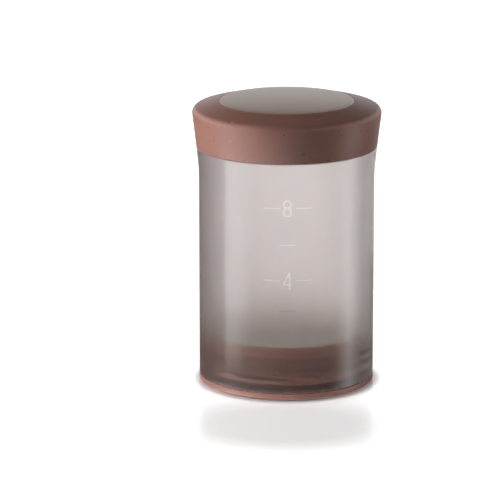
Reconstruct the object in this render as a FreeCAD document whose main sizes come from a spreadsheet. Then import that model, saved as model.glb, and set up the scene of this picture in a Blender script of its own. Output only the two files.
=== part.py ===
import FreeCAD, Part

import math
import os
from types import SimpleNamespace

import Sketcher

# Portable steep-and-release coffee maker, in millimetres.
# Origin at the centre of the foot on the table, Z up, graduation marks towards -Y.
#
# The foot ring is the rim of a dished valve dial. Turning everything above it brings the
# ports of the base over the ports of the dial and drains the chamber through the filter.

SIZES = [
    # Frosted chamber
    ("chamber_radius", 37.0, "outer radius of the chamber and of the foot ring"),
    ("chamber_wall", 1.8, "wall of the chamber"),
    ("chamber_length", 98.1, "chamber from its lower edge to the lid seam"),
    ("flare_out", 1.05, "how far the chamber widens up to the lid seam"),
    ("flare_length", 13.0, "height over which the chamber widens"),
    ("blend_out", 0.25, "part of that widening taken by its gentler start"),
    ("blend_length", 5.0, "height of the gentler start"),
    ("neck_length", 12.5, "threaded neck above the lid seam"),
    ("neck_wall", 1.15, "wall of the neck"),
    ("thread_room", 0.7, "radial room between screwed pieces for their threads"),
    ("socket_depth", 3.2, "widened lower end of the chamber that holds the base gasket"),
    ("socket_step", 0.7, "how much wider that end is than the bore"),
    # Clearances
    ("dial_gap", 0.2, "gap between the foot ring and the chamber"),
    ("running_gap", 0.1, "gap between flat faces that turn past each other"),
    ("bearing_gap", 0.08, "radial clearance of a turning fit"),
    ("face_gap", 0.05, "gap between pieces that are pressed together"),
    ("seat_gap", 0.1, "radial gap round a piece that sits in a recess"),
    ("seal_gap", 0.2, "radial gap beside a gasket that seals on its flat faces"),
    # Foot ring and dial
    ("foot_height", 3.1, "top of the foot ring above the table"),
    ("foot_corner", 2.25, "height and width of the foot ring's bevelled lower corner"),
    ("foot_bevel", 0.65, "how far the middle of that corner stands in from each face"),
    ("foot_land", 0.55, "flat between that corner and the foot pad"),
    ("pad_reach", 0.35, "how far the pad stands below the dial"),
    ("pad_thickness", 1.0, "thickness of the foot pad"),
    ("pad_inset", 0.6, "pad's inner edge outside the recess under the dial"),
    ("spigot_height", 6.5, "bearing spigot above the foot ring"),
    ("spigot_wall", 2.1, "wall of the bearing spigot"),
    ("dial_web", 2.2, "thickness of the dial's web"),
    ("collar_room", 0.8, "drip collar's bore beyond the ports"),
    ("collar_wall", 1.4, "wall of the drip collar"),
    ("collar_bottom", 3.0, "lower edge of the drip collar above the table"),
    ("boss_radius", 5.0, "radius of the bearing boss on the dial"),
    ("well_room", 0.3, "radial room round the spring in its well"),
    ("well_wall", 1.1, "wall of the spring's well"),
    ("well_bottom", 4.2, "lower edge of the spring's well above the table"),
    ("rib_thickness", 1.4, "thickness of a rib under the dial"),
    ("rib_count", 6, "number of ribs under the dial"),
    # Rotary drain valve
    ("port_count", 3, "number of drain ports"),
    ("port_land", 0.4, "solid ring between the spring's well and the ports"),
    ("port_length", 6.8, "radial length of a drain port"),
    ("port_span", 46.0, "angle of a drain port"),
    ("port_place", 30.0, "angle of the base's first port from the X axis"),
    ("valve_turn", 60.0, "turn from shut to open"),
    ("seal_thickness", 2.5, "thickness of the valve seal"),
    ("seal_land", 2.5, "valve seal beyond the ports"),
    ("stop_inner", 19.5, "inner radius of the turn stops"),
    ("stop_outer", 22.5, "outer radius of the turn stops"),
    ("stop_span", 10.0, "angle of a turn stop"),
    ("stop_play", 0.5, "angle left free at each end of the turn"),
    # Base with its plug and port plate
    ("plate_thickness", 2.2, "thickness of the port plate"),
    ("flange_height", 1.0, "flange that carries the base gasket"),
    ("flange_gap", 0.3, "radial gap between that flange and the chamber"),
    ("groove_depth", 1.2, "depth of the gasket groove in the plug"),
    ("skirt_wall", 1.7, "wall of the plug behind the gasket groove"),
    ("plug_top", 22.5, "top of the base, the zero level of the marks"),
    ("rim_wall", 1.3, "rim of the base round the filter"),
    ("ledge_width", 2.6, "ledge that carries the filter"),
    # Valve pivot
    ("shaft_radius", 2.0, "radius of the valve pivot"),
    ("head_radius", 4.6, "radius of the pivot's head"),
    ("head_height", 1.6, "height of the pivot's head"),
    ("head_bevel", 0.6, "bevel round the pivot's head"),
    ("pivot_seal_radius", 4.1, "radius of the seal under the pivot's head"),
    ("pivot_seal_depth", 0.8, "thickness of the seal under the pivot's head"),
    ("spring_height", 1.15, "height of the coned disc spring"),
    ("spring_thickness", 0.4, "thickness of the disc spring"),
    ("spring_radius", 4.8, "outer radius of the disc spring"),
    ("washer_thickness", 0.5, "thickness of the pivot's washer"),
    ("clip_thickness", 0.6, "thickness of the pivot's clip"),
    ("clip_radius", 3.8, "outer radius of the pivot's clip"),
    ("clip_depth", 0.6, "depth of the clip's groove"),
    ("clip_span", 290.0, "angle that the clip runs round the pivot"),
    ("pivot_end", 0.7, "length of the pivot past its clip"),
    # Filter
    ("filter_recess", 0.2, "top of the filter below the top of the base"),
    ("clamp_thickness", 0.6, "thickness of the ring that clamps the mesh"),
    ("mesh_thickness", 0.25, "thickness of the mesh"),
    ("frame_height", 2.2, "height of the mesh's support frame"),
    ("frame_width", 2.3, "width of the support frame's ring"),
    ("frame_hub", 5.0, "radius of the support frame's hub"),
    ("spoke_width", 1.8, "width of a spoke"),
    ("spoke_relief", 0.4, "spokes' lower face above the ring's"),
    ("spoke_count", 8, "number of spokes"),
    ("band_thickness", 1.0, "radial thickness of the filter's gasket"),
    # Lid
    ("lid_gap", 0.2, "gap at the lid seam"),
    ("lid_rise", 13.9, "lid's widest line above the lid seam"),
    ("lid_out", 1.7, "how far the lid widens up to that line"),
    ("bevel_rise", 1.6, "height of the lower bevel of the lid's shoulder"),
    ("bevel_in", 0.25, "how far that bevel leads in"),
    ("shoulder_rise", 1.2, "height of the upper bevel of the lid's shoulder"),
    ("shoulder_in", 1.5, "how far that bevel leads in"),
    ("crown_rise", 2.9, "rise of the lid's top from shoulder to disc"),
    ("disc_radius", 28.4, "radius of the plain disc in the lid"),
    ("disc_thickness", 1.3, "thickness of that disc"),
    ("disc_proud", 0.05, "how far the disc stands above the lid"),
    ("gasket_height", 1.6, "height between neck and liner for the lid gasket"),
    ("liner_wall", 1.8, "wall of the lid's liner"),
    ("liner_depth", 8.0, "liner below the top of the neck"),
    ("liner_play", 0.6, "radial gap between liner and chamber"),
    ("liner_flange", 1.55, "thickness of the liner's flange"),
    ("notch_count", 3, "number of air notches in the liner's flange"),
    ("notch_depth", 1.0, "depth of an air notch"),
    ("notch_span", 8.0, "angle of an air notch"),
    # Vent valve
    ("vent_stem", 1.2, "radius of the vent valve's stem"),
    ("vent_radius", 5.5, "radius of the vent valve's flap"),
    ("vent_thickness", 0.7, "thickness of the vent valve's flap"),
    ("bulb_reach", 0.6, "how far the bulb stands out from the stem"),
    ("bulb_height", 1.3, "height of the bulb that holds the vent valve"),
    ("vent_hole", 0.9, "radius of a vent hole"),
    ("vent_hole_place", 3.4, "vent holes from the axis"),
    ("vent_hole_count", 4, "number of vent holes"),
]


class Size:
    """A size known both as a number and as an expression on the sheet."""

    def __init__(self, value, text):
        self.value = value
        self.text = text

    def joined(self, sign, other, value):
        return Size(value, "(" + self.text + " " + sign + " " + text_of(other) + ")")

    def __add__(self, other):
        return self.joined("+", other, self.value + value_of(other))

    def __sub__(self, other):
        return self.joined("-", other, self.value - value_of(other))

    def __mul__(self, other):
        return self.joined("*", other, self.value * value_of(other))

    def __truediv__(self, other):
        return self.joined("/", other, self.value / value_of(other))


def value_of(size):
    return size.value if isinstance(size, Size) else size


def text_of(size):
    return size.text if isinstance(size, Size) else str(size)


doc = FreeCAD.newDocument("coffee_maker")
sheet = doc.addObject("Spreadsheet::Sheet", "Sizes")
s = SimpleNamespace()
for row, (alias, number, meaning) in enumerate(SIZES, 1):
    sheet.set("A%d" % row, meaning)
    sheet.set("B%d" % row, str(number))
    sheet.setAlias("B%d" % row, alias)
    setattr(s, alias, Size(number, "Sizes." + alias))
doc.recompute()

AXIS = Size(0, "0")
FULL_TURN = 360


def new_body(label):
    body = doc.addObject("PartDesign::Body", label)
    body.Label = label
    return body


def origin_feature(body, role):
    return next(f for f in body.Origin.OriginFeatures if f.Role == role)


def new_sketch(body, role, height=AXIS):
    """A sketch on one of the body's own planes, raised to a height where one is given."""
    sketch = body.newObject("Sketcher::SketchObject", body.Label + "_sketch")
    sketch.AttachmentSupport = [(origin_feature(body, role), "")]
    sketch.MapMode = "FlatFace"
    sketch.setExpression("AttachmentOffset.Base.z", height.text)
    return sketch


def bind(sketch, kind, where, size):
    """Adds one dimension to a sketch and binds it to its size."""
    index = sketch.addConstraint(Sketcher.Constraint(kind, *where, size.value))
    sketch.setExpression("Constraints[%d]" % index, size.text)


def round_shape(radius):
    return Part.Circle(FreeCAD.Vector(), FreeCAD.Vector(0, 0, 1), radius.value)


def outline(sketch, corners):
    """A closed outline through corners of (radius, height), listed anticlockwise."""
    points = [FreeCAD.Vector(radius.value, height.value, 0) for radius, height in corners]
    for index, start in enumerate(points):
        end = points[(index + 1) % len(points)]
        sketch.addGeometry(Part.LineSegment(start, end), False)
    for index, (radius, height) in enumerate(corners):
        following = (index + 1) % len(corners)
        sketch.addConstraint(Sketcher.Constraint("Coincident", index, 2, following, 1))
        if radius is AXIS:
            sketch.addConstraint(Sketcher.Constraint("PointOnObject", index, 1, -2))
        else:
            bind(sketch, "DistanceX", (-1, 1, index, 1), radius)
        if height is AXIS:
            sketch.addConstraint(Sketcher.Constraint("PointOnObject", index, 1, -1))
        else:
            bind(sketch, "DistanceY", (-1, 1, index, 1), height)


def turned(body, corners, angle=None):
    """A solid of revolution about the Z axis, right round unless an angle is given."""
    sketch = new_sketch(body, "XZ_Plane")
    outline(sketch, corners)
    feature = body.newObject("PartDesign::Revolution", body.Label + "_turned")
    feature.Profile = sketch
    feature.ReferenceAxis = (sketch, ["V_Axis"])
    feature.Angle = FULL_TURN
    if angle is not None:
        feature.setExpression("Angle", angle.text)
    doc.recompute()


def ring(body, inner, outer, bottom, top, angle=None):
    """A flat ring of rectangular section, or a disc where its inner edge is the axis."""
    turned(body, [(inner, bottom), (outer, bottom), (outer, top), (inner, top)], angle)


def sector(sketch, inner, outer, middle, span):
    """A ring sector between two radii, centred on an angle in degrees from the X axis."""
    low = middle - span / 2
    high = middle + span / 2
    for radius in (inner, outer):
        whole = round_shape(radius)
        arc = Part.ArcOfCircle(whole, math.radians(low.value), math.radians(high.value))
        index = sketch.addGeometry(arc, False)
        sketch.addConstraint(Sketcher.Constraint("Coincident", index, 3, -1, 1))
        bind(sketch, "Radius", (index,), radius)
    for side, angle in ((1, low), (2, high)):
        turn = math.radians(angle.value)
        ray = FreeCAD.Vector(math.cos(turn), math.sin(turn), 0)
        edge = Part.LineSegment(ray * inner.value, ray * outer.value)
        index = sketch.addGeometry(edge, False)
        sketch.addConstraint(Sketcher.Constraint("Coincident", index, 1, 0, side))
        sketch.addConstraint(Sketcher.Constraint("Coincident", index, 2, 1, side))
        sketch.addConstraint(Sketcher.Constraint("PointOnObject", -1, 1, index))
        constraint = sketch.addConstraint(Sketcher.Constraint("Angle", index, turn))
        sketch.setExpression("Constraints[%d]" % constraint, angle.text)


def hub_circle(sketch, radius):
    index = sketch.addGeometry(round_shape(radius), False)
    bind(sketch, "Radius", (index,), radius)
    sketch.addConstraint(Sketcher.Constraint("Coincident", index, 3, -1, 1))


def hole_circle(sketch, radius, place):
    """A circle on the X axis at a distance from the origin."""
    shape = round_shape(radius)
    shape.Center = FreeCAD.Vector(place.value, 0, 0)
    index = sketch.addGeometry(shape, False)
    bind(sketch, "Radius", (index,), radius)
    bind(sketch, "DistanceX", (-1, 1, index, 3), place)
    sketch.addConstraint(Sketcher.Constraint("PointOnObject", index, 3, -1))


def spoke_bar(sketch, length, width):
    """A rectangle from the origin along the X axis."""
    half = width.value / 2
    places = ((0, -half), (length.value, -half), (length.value, half), (0, half))
    corners = [FreeCAD.Vector(x, y, 0) for x, y in places]
    for index, start in enumerate(corners):
        end = corners[(index + 1) % len(corners)]
        sketch.addGeometry(Part.LineSegment(start, end), False)
    for index, kind in enumerate(("Horizontal", "Vertical", "Horizontal", "Vertical")):
        following = (index + 1) % len(corners)
        sketch.addConstraint(Sketcher.Constraint("Coincident", index, 2, following, 1))
        sketch.addConstraint(Sketcher.Constraint(kind, index))
    sketch.addConstraint(Sketcher.Constraint("Symmetric", 3, 1, 3, 2, -1, 1))
    bind(sketch, "DistanceX", (0, 1, 0, 2), length)
    bind(sketch, "DistanceY", (1, 1, 1, 2), width)


def padded(body, sketch, length, both_ways=False):
    feature = body.newObject("PartDesign::Pad", body.Label + "_pad")
    feature.Profile = sketch
    feature.Midplane = both_ways
    feature.setExpression("Length", length.text)
    doc.recompute()
    return feature


def cut_through(body, sketch):
    feature = body.newObject("PartDesign::Pocket", body.Label + "_pocket")
    feature.Profile = sketch
    feature.Type = "ThroughAll"
    feature.Midplane = True
    doc.recompute()
    return feature


def patterned(body, feature, count):
    """Copies of a feature, evenly spaced round the Z axis."""
    pattern = body.newObject("PartDesign::PolarPattern", body.Label + "_pattern")
    pattern.Originals = [feature]
    pattern.Axis = (origin_feature(body, "Z_Axis"), [""])
    pattern.Angle = FULL_TURN
    pattern.setExpression("Occurrences", count.text)
    body.Tip = pattern
    doc.recompute()


# Radii, from the chamber's wall inwards
bore = s.chamber_radius - s.chamber_wall
seam_radius = s.chamber_radius + s.flare_out
neck_radius = bore + s.neck_wall
socket_radius = bore + s.socket_step
flange_radius = socket_radius - s.flange_gap
plug_radius = bore - s.thread_room
groove_radius = plug_radius - s.groove_depth
skirt_inner = groove_radius - s.skirt_wall
pocket_radius = plug_radius - s.rim_wall
spigot_radius = skirt_inner - s.bearing_gap
ledge_inner = pocket_radius - s.ledge_width
foot_bore = spigot_radius - s.spigot_wall
corner_radius = s.chamber_radius - s.foot_corner
pad_seat = corner_radius - s.foot_land

# Radii, from the pivot outwards
pivot_bore = s.shaft_radius + s.bearing_gap
clip_bore = s.shaft_radius - s.clip_depth
well_radius = s.spring_radius + s.well_room
well_outer = well_radius + s.well_wall
port_inner = well_outer + s.port_land
port_outer = port_inner + s.port_length
collar_inner = port_outer + s.collar_room
collar_outer = collar_inner + s.collar_wall
seal_radius = port_outer + s.seal_land

# Heights of the foot, the dial and the valve
flange_bottom = s.foot_height + s.running_gap
chamber_bottom = s.foot_height + s.dial_gap
web_top = s.foot_height + s.spigot_height
web_bottom = web_top - s.dial_web
seal_top = web_top + s.seal_thickness
plate_bottom = seal_top + s.running_gap
plate_top = plate_bottom + s.plate_thickness
gasket_bottom = flange_bottom + s.flange_height
socket_top = chamber_bottom + s.socket_depth

# Heights of the pivot's stack, from the dial's web down
spring_top = web_bottom - s.face_gap
spring_bottom = spring_top - s.spring_height
clip_top = spring_bottom - s.washer_thickness
clip_bottom = clip_top - s.clip_thickness
pivot_bottom = clip_bottom - s.pivot_end

# The filter's place, from the top of the base down
filter_top = s.plug_top - s.filter_recess
mesh_top = filter_top - s.clamp_thickness
frame_top = mesh_top - s.mesh_thickness
filter_bottom = frame_top - s.frame_height
ledge_height = filter_bottom - s.face_gap
filter_radius = pocket_radius - s.face_gap - s.band_thickness - s.face_gap
frame_inner = filter_radius - s.frame_width

# Heights of the chamber and the lid
seam_height = chamber_bottom + s.chamber_length
flare_bottom = seam_height - s.flare_length
neck_top = seam_height + s.neck_length
lid_bottom = seam_height + s.lid_gap
widest_height = seam_height + s.lid_rise
bevel_height = widest_height + s.bevel_rise
shoulder_height = bevel_height + s.shoulder_rise
crown_height = shoulder_height + s.crown_rise
disc_top = crown_height + s.disc_proud
disc_bottom = disc_top - s.disc_thickness
liner_shoulder = neck_top + s.gasket_height
liner_top = liner_shoulder + s.liner_flange
liner_bottom = neck_top - s.liner_depth
liner_floor = liner_bottom + s.liner_wall

# Radii of the lid
skirt_bore = neck_radius + s.thread_room
widest_radius = seam_radius + s.lid_out
bevel_radius = widest_radius - s.bevel_in
shoulder_radius = bevel_radius - s.shoulder_in
liner_plug = bore - s.liner_play
liner_edge = skirt_bore - s.seat_gap
vent_bore = s.vent_stem + s.seat_gap


def foot_pad(body):
    """Soft ring that the maker stands on."""
    ring(body, foot_bore + s.pad_inset, pad_seat - s.face_gap, AXIS, s.pad_thickness)


def drain_ports(body, first):
    """The valve's ports, cut right through and repeated round the axis."""
    sketch = new_sketch(body, "XY_Plane")
    sector(sketch, port_inner, port_outer, first, s.port_span)
    patterned(body, cut_through(body, sketch), s.port_count)


def foot_dial(body):
    """Foot ring and bearing spigot round a ribbed web with a drip collar and the ports."""
    corner_bottom = s.pad_reach
    corner_top = corner_bottom + s.foot_corner
    turned(
        body,
        [
            (pivot_bore, web_bottom),
            (well_radius, web_bottom),
            (well_radius, s.well_bottom),
            (well_outer, s.well_bottom),
            (well_outer, web_bottom),
            (collar_inner, web_bottom),
            (collar_inner, s.collar_bottom),
            (collar_outer, s.collar_bottom),
            (collar_outer, web_bottom),
            (foot_bore, web_bottom),
            (foot_bore, s.pad_thickness),
            (pad_seat, s.pad_thickness),
            (pad_seat, corner_bottom),
            (corner_radius, corner_bottom),
            (s.chamber_radius - s.foot_bevel, corner_bottom + s.foot_bevel),
            (s.chamber_radius, corner_top),
            (s.chamber_radius, s.foot_height),
            (spigot_radius, s.foot_height),
            (spigot_radius, web_top),
            (s.boss_radius, web_top),
            (s.boss_radius, seal_top),
            (pivot_bore, seal_top),
        ],
    )
    rib_inner = collar_outer - s.collar_wall / 2
    rib_outer = foot_bore + s.spigot_wall / 2
    rib_top = web_bottom + s.dial_web / 2
    rib = new_sketch(body, "XZ_Plane")
    outline(
        rib,
        [
            (rib_inner, s.collar_bottom),
            (rib_outer, s.collar_bottom),
            (rib_outer, rib_top),
            (rib_inner, rib_top),
        ],
    )
    patterned(body, padded(body, rib, s.rib_thickness, True), s.rib_count)
    tab = new_sketch(body, "XY_Plane", web_bottom)
    sector(tab, s.stop_inner, s.stop_outer, AXIS, s.stop_span)
    padded(body, tab, seal_top - web_bottom)
    drain_ports(body, s.port_place + s.valve_turn)


def valve_seal(body):
    """Face seal on the dial's web, with the dial's ports through it."""
    ring(body, s.boss_radius + s.seat_gap, seal_radius, web_top, seal_top)
    drain_ports(body, s.port_place + s.valve_turn)


def base_housing(body):
    """Plug that screws into the chamber, with the filter's seat and the port plate."""
    seal_seat = s.pivot_seal_radius + s.seat_gap
    seat_height = plate_top - s.pivot_seal_depth
    plug_bottom = socket_top + s.face_gap
    turned(
        body,
        [
            (pivot_bore, plate_bottom),
            (skirt_inner, plate_bottom),
            (skirt_inner, flange_bottom),
            (flange_radius, flange_bottom),
            (flange_radius, gasket_bottom),
            (groove_radius, gasket_bottom),
            (groove_radius, plug_bottom),
            (plug_radius, plug_bottom),
            (plug_radius, s.plug_top),
            (pocket_radius, s.plug_top),
            (pocket_radius, ledge_height),
            (ledge_inner, ledge_height),
            (ledge_inner, plate_top),
            (seal_seat, plate_top),
            (seal_seat, seat_height),
            (pivot_bore, seat_height),
        ],
    )
    half_turn = s.valve_turn / 2
    reach = half_turn + s.stop_span + s.stop_play
    stop_bottom = web_top + s.running_gap
    for middle in (half_turn - reach, half_turn + reach):
        stop = new_sketch(body, "XY_Plane", stop_bottom)
        sector(stop, s.stop_inner, s.stop_outer, middle, s.stop_span)
        padded(body, stop, plate_top - stop_bottom)
    drain_ports(body, s.port_place)


def base_gasket(body):
    """Gasket between the flange of the base and the step in the chamber."""
    inner = groove_radius + s.seal_gap
    outer = socket_radius - s.seal_gap
    ring(body, inner, outer, gasket_bottom + s.face_gap, socket_top - s.face_gap)


def valve_pivot(body):
    """Headed pin that the dial turns on, with a groove for its clip."""
    head_top = plate_top + s.head_height
    turned(
        body,
        [
            (AXIS, pivot_bottom),
            (s.shaft_radius, pivot_bottom),
            (s.shaft_radius, clip_bottom),
            (clip_bore, clip_bottom),
            (clip_bore, clip_top),
            (s.shaft_radius, clip_top),
            (s.shaft_radius, plate_top),
            (s.head_radius, plate_top),
            (s.head_radius, head_top - s.head_bevel),
            (s.head_radius - s.head_bevel, head_top),
            (AXIS, head_top),
        ],
    )


def pivot_seal(body):
    """Seal round the pivot, in a counterbore under its head."""
    seat_height = plate_top - s.pivot_seal_depth
    ring(body, pivot_bore, s.pivot_seal_radius, seat_height, plate_top)


def valve_spring(body):
    """Coned disc spring that presses the valve seal against the port plate."""
    inner = s.shaft_radius + s.seat_gap
    turned(
        body,
        [
            (inner, spring_bottom),
            (s.spring_radius, spring_top - s.spring_thickness),
            (s.spring_radius, spring_top),
            (inner, spring_bottom + s.spring_thickness),
        ],
    )


def pivot_washer(body):
    """Washer between the disc spring and the clip."""
    ring(body, s.shaft_radius + s.seat_gap, s.head_radius, clip_top, spring_bottom)


def pivot_clip(body):
    """Open retaining clip in the pivot's groove."""
    ring(body, clip_bore + s.face_gap, s.clip_radius, clip_bottom, clip_top, s.clip_span)


def filter_frame(body):
    """Ring with spokes and a hub under the mesh."""
    ring(body, frame_inner, filter_radius, filter_bottom, frame_top)
    height = s.frame_height - s.spoke_relief
    spoke_bottom = filter_bottom + s.spoke_relief
    spoke = new_sketch(body, "XY_Plane", spoke_bottom)
    spoke_bar(spoke, filter_radius - s.frame_width / 2, s.spoke_width)
    patterned(body, padded(body, spoke, height), s.spoke_count)
    hub = new_sketch(body, "XY_Plane", spoke_bottom)
    hub_circle(hub, s.frame_hub)
    padded(body, hub, height)


def filter_mesh(body):
    """Fine mesh disc."""
    ring(body, AXIS, filter_radius, frame_top, mesh_top)


def filter_clamp(body):
    """Ring that holds the edge of the mesh down on its frame."""
    ring(body, frame_inner, filter_radius, mesh_top, filter_top)


def filter_gasket(body):
    """Band round the filter that holds it in the base."""
    ring(body, filter_radius + s.face_gap, pocket_radius - s.face_gap, filter_bottom, filter_top)


def brew_chamber(body):
    """Tube, open at both ends, that widens gently up to the lid seam."""
    turned(
        body,
        [
            (bore, socket_top),
            (socket_radius, socket_top),
            (socket_radius, chamber_bottom),
            (s.chamber_radius, chamber_bottom),
            (s.chamber_radius, flare_bottom),
            (s.chamber_radius + s.blend_out, flare_bottom + s.blend_length),
            (seam_radius, seam_height),
            (neck_radius, seam_height),
            (neck_radius, neck_top),
            (bore, neck_top),
        ],
    )


def lid_shell(body):
    """Cap with a bevelled shoulder and a shallow crown round the recess for its disc."""
    recess = s.disc_radius + s.seat_gap
    ceiling = liner_top + s.face_gap
    turned(
        body,
        [
            (skirt_bore, lid_bottom),
            (seam_radius, lid_bottom),
            (widest_radius, widest_height),
            (bevel_radius, bevel_height),
            (shoulder_radius, shoulder_height),
            (recess, crown_height),
            (recess, disc_bottom),
            (AXIS, disc_bottom),
            (AXIS, ceiling),
            (skirt_bore, ceiling),
        ],
    )


def lid_disc(body):
    """Plain disc set flush in the lid's top."""
    ring(body, AXIS, s.disc_radius, disc_bottom, disc_top)


def lid_liner(body):
    """Inner cup of the lid, with air notches in its flange and vent holes in its floor."""
    turned(
        body,
        [
            (vent_bore, liner_bottom),
            (liner_plug, liner_bottom),
            (liner_plug, liner_shoulder),
            (liner_edge, liner_shoulder),
            (liner_edge, liner_top),
            (liner_plug - s.liner_wall, liner_top),
            (liner_plug - s.liner_wall, liner_floor),
            (vent_bore, liner_floor),
        ],
    )
    hole = new_sketch(body, "XY_Plane")
    hole_circle(hole, s.vent_hole, s.vent_hole_place)
    patterned(body, cut_through(body, hole), s.vent_hole_count)
    notch = new_sketch(body, "XY_Plane")
    sector(notch, liner_edge - s.notch_depth, liner_edge + s.notch_depth, AXIS, s.notch_span)
    patterned(body, cut_through(body, notch), s.notch_count)


def lid_gasket(body):
    """Gasket between the neck and the liner's flange."""
    inner = liner_plug + s.seal_gap
    outer = skirt_bore - s.seal_gap
    ring(body, inner, outer, neck_top + s.face_gap, liner_shoulder - s.face_gap)


def vent_valve(body):
    """Flap valve that lets air in while the brew drains."""
    bulb_radius = s.vent_stem + s.bulb_reach
    bulb_top = liner_floor + s.bulb_height
    turned(
        body,
        [
            (AXIS, liner_bottom - s.vent_thickness),
            (s.vent_radius, liner_bottom - s.vent_thickness),
            (s.vent_radius, liner_bottom),
            (s.vent_stem, liner_bottom),
            (s.vent_stem, liner_floor),
            (bulb_radius, liner_floor),
            (bulb_radius, bulb_top),
            (AXIS, bulb_top),
        ],
    )


def check_document():
    for item in doc.Objects:
        if "Invalid" in item.State or "Error" in item.State:
            raise RuntimeError(item.Label + " failed: " + str(item.State))


def check_solid(body):
    shape = body.Shape
    if shape.isNull() or not shape.isValid() or len(shape.Solids) != 1:
        raise RuntimeError(body.Label + " is not one valid solid")


MAKERS = (
    foot_pad,
    foot_dial,
    valve_seal,
    base_housing,
    base_gasket,
    valve_pivot,
    pivot_seal,
    valve_spring,
    pivot_washer,
    pivot_clip,
    filter_frame,
    filter_mesh,
    filter_clamp,
    filter_gasket,
    brew_chamber,
    lid_shell,
    lid_disc,
    lid_liner,
    lid_gasket,
    vent_valve,
)

for make in MAKERS:
    make(new_body(make.__name__))
doc.recompute()
check_document()

pieces = [doc.getObject(make.__name__) for make in MAKERS]
for piece in pieces:
    check_solid(piece)
os.makedirs("parts", exist_ok=True)
for piece in pieces:
    piece.Shape.exportStep("parts/" + piece.Label + ".step")
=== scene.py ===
"""Looks of a portable coffee maker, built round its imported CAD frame."""

import math

import bmesh
import bpy
from bpy.props import FloatProperty, FloatVectorProperty, IntProperty, PointerProperty
from mathutils import Matrix, Vector


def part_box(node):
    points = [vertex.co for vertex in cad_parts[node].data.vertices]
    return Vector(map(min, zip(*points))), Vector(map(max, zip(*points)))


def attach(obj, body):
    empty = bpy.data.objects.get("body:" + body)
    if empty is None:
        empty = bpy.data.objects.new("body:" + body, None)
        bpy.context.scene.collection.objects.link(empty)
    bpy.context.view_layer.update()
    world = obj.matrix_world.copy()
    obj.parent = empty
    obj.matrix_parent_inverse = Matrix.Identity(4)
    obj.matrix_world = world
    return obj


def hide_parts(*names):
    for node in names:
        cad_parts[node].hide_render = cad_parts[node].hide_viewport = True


bl_info = {
    "name": "Portable coffee maker",
    "version": (1, 0, 0),
    "blender": (4, 5, 0),
    "location": "3D View > Sidebar > Coffee maker",
    "description": "Builds a portable coffee maker with its chamber, lid, base and valve",
    "category": "Object",
}

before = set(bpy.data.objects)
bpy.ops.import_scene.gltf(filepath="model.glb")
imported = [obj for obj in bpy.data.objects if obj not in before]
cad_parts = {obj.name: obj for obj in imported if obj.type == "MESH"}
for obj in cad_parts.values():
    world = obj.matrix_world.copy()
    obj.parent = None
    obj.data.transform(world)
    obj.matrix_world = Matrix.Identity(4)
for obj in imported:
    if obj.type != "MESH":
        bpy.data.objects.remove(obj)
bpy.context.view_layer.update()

MM = 0.001
TURN = 2 * math.pi
STEPS = 256
ARC_STEP = math.radians(8)
CREASE = math.radians(32)
ROOT_THREE = math.sqrt(3)

# No arc takes up more of a side of its outline than this share
ARC_SHARE = 0.48
# Where a cloud's noise reaches its darkest and its palest shade
CLOUD_START, CLOUD_END = 0.3, 0.7
# Where a speck starts to fade and where it ends, as shares of its cell
SPECK_CORE, SPECK_RIM = 0.16, 0.24

# Share of a thread over which it tapers, its size at the very end, and its crest's width
TAPER_SHARE, TAPER_END, CREST_SHARE = 0.06, 0.05, 0.45
HELIX_STEPS = 128
# Steps round the mesh's border, and the distance for welding, as a share of its pitch
RIM_STEPS = 160
WELD_SHARE = 0.02

# The eight's waist above the middle, over its height; a loop's round end, over its half width
EIGHT_WAIST, EIGHT_BEND = 0.03, 0.95
# The four's upright right of the middle, over its width; its foot and its crossbar below the
# middle, over its height; and what its strokes reach past their ends, over their width
FOUR_STEM, FOUR_FOOT, FOUR_BAR, FOUR_END = 0.26, 0.54, 0.24, 0.4
# Reach of the dashes from the front, in degrees to the right
LEFT_DASH, RIGHT_DASH, LONE_DASH = (-14.9, -4.2), (6.2, 16.9), (-4.5, 6.0)

# Radii at which the disc's dome is drawn, as shares of its own, and room round the foot pad
DOME_SHARES = (1, 0.85, 0.7, 0.55, 0.4, 0.25, 0.1, 0)
PAD_ROOM = 0.05 * MM

# Steps along a card of the stage, and the distance of the flags
CARD_STEPS = 24
FLAG_RADIUS = 0.95

# Places of the pieces, read from the frame
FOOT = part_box("foot_dial")
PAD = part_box("foot_pad")
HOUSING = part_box("base_housing")
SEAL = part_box("valve_seal")
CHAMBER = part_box("brew_chamber")
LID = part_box("lid_shell")
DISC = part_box("lid_disc")
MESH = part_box("filter_mesh")


def length(name, description, mm):
    return FloatProperty(
        name=name, description=description, default=mm * MM, min=0, unit="LENGTH", precision=5
    )


def angle(name, description, degrees):
    return FloatProperty(
        name=name, description=description, default=math.radians(degrees), subtype="ANGLE"
    )


def count(name, description, default, least, most):
    return IntProperty(
        name=name, description=description, default=default, min=least, max=most
    )


def linear(hex_colour):
    """Linear RGBA from an sRGB hex colour."""
    parts = [int(hex_colour[start : start + 2], 16) / 255 for start in (1, 3, 5)]
    curved = [c / 12.92 if c <= 0.04045 else ((c + 0.055) / 1.055) ** 2.4 for c in parts]
    return (*curved, 1.0)


def colour(name, description, hex_colour):
    return FloatVectorProperty(
        name=name,
        description=description,
        subtype="COLOR",
        size=4,
        min=0,
        max=1,
        default=linear(hex_colour),
    )


# Sizes and colours


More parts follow.
